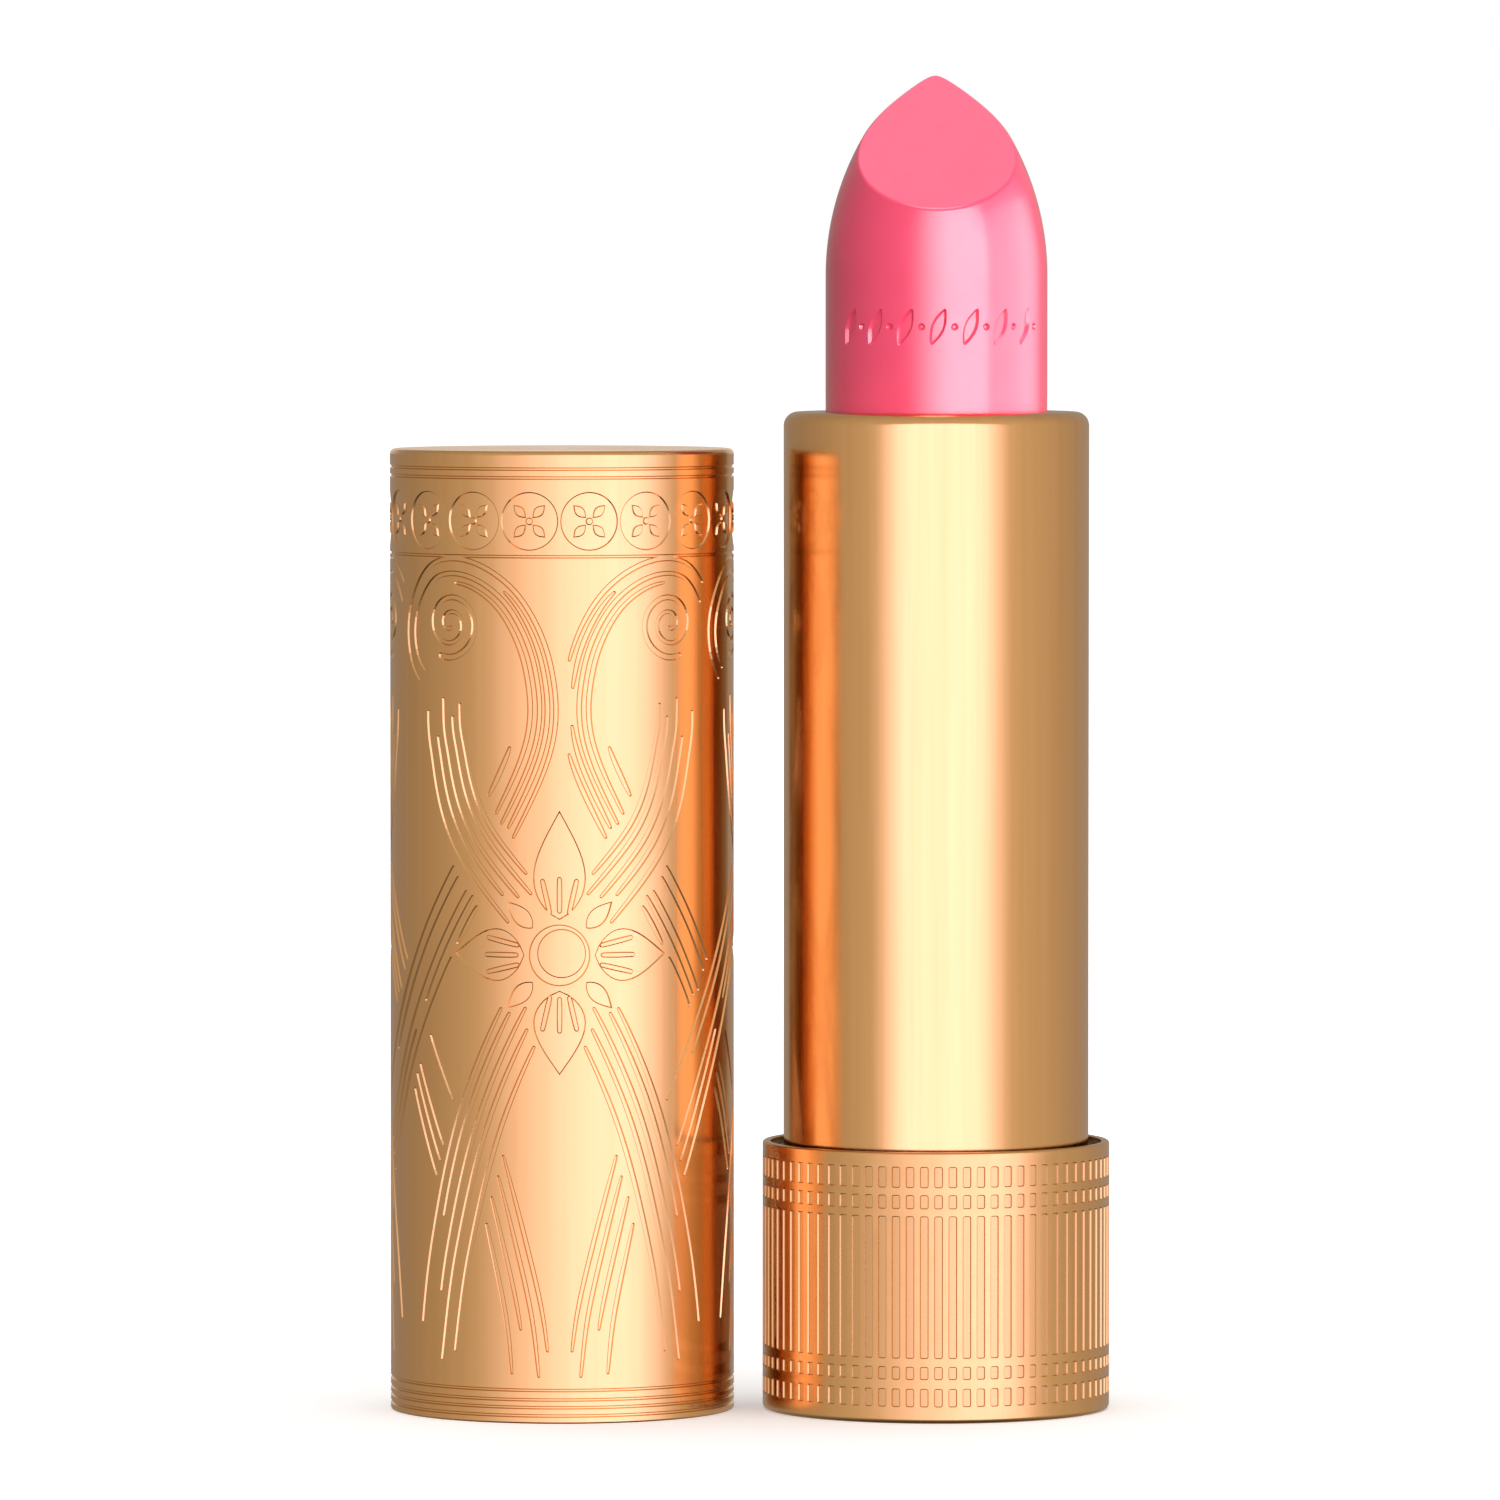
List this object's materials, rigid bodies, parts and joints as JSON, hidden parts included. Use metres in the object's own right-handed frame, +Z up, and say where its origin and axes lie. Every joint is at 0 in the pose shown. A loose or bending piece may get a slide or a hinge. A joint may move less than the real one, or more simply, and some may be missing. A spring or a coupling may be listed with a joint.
{
  "type": "lipstick case",
  "caption": "Twist-up lipstick case in engraved and satin gold metal, pink slant-cut stick raised, with its cap standing beside it.",
  "frame": {"origin": "on the surface that the case and its cap stand on, at the centre of the pair's box", "axes": "+Z up along the case's axis; +X from the standing cap towards the case; -Y is the front, which the stick's slant cut faces"},
  "size_m": [0.0412, 0.0198, 0.0765],
  "materials": {
    "patterned_gold": "gold-anodised, fine pattern of sunken bars with matte floors",
    "satin_gold": "gold-anodised, satin, brushed along the axis",
    "engraved_gold": "gold-anodised, etched with scrollwork",
    "black_plastic": "moulded, satin black",
    "white_plastic": "moulded, slightly translucent white",
    "silicone": "soft clear-grey silicone",
    "weight_steel": "turned, zinc-plated",
    "label_film": "plain paper-like film, no printing",
    "lipstick_wax": "satin pink wax"
  },
  "bodies": {
    "base": {"base_shell": "patterned_gold", "base_label": "label_film", "base_weight": "weight_steel", "base_insert": "black_plastic", "inner_body": "white_plastic", "torque_ring_lower": "silicone", "torque_ring_upper": "silicone"},
    "sleeve": {"sleeve_shell": "satin_gold", "cam_spiral": "white_plastic"},
    "carrier": {"carrier_cup": "white_plastic", "lipstick_bullet": "lipstick_wax"},
    "cap": {"cap_shell": "engraved_gold", "cap_liner": "black_plastic", "cap_weight": "weight_steel"}
  },
  "joints": [
    {"name": "sleeve_twist", "type": "hinge", "parent": "base", "child": "sleeve", "pos_m": [0.01068, 0, 0.02], "axis": [0, 0, 1], "range_deg": [0, 450]},
    {"name": "stick_raise", "type": "slide", "parent": "base", "child": "carrier", "axis": [0, 0, 1], "range_m": [-0.02101, 0]},
    {"name": "cap_lift", "type": "slide", "parent": "base", "child": "cap", "axis": [0, 0, 1], "range_m": [0, 0.08]}
  ],
  "couplings": [
    {"joint": "stick_raise", "follows": "sleeve_twist", "m_per_rad": -0.0026738}
  ]
}
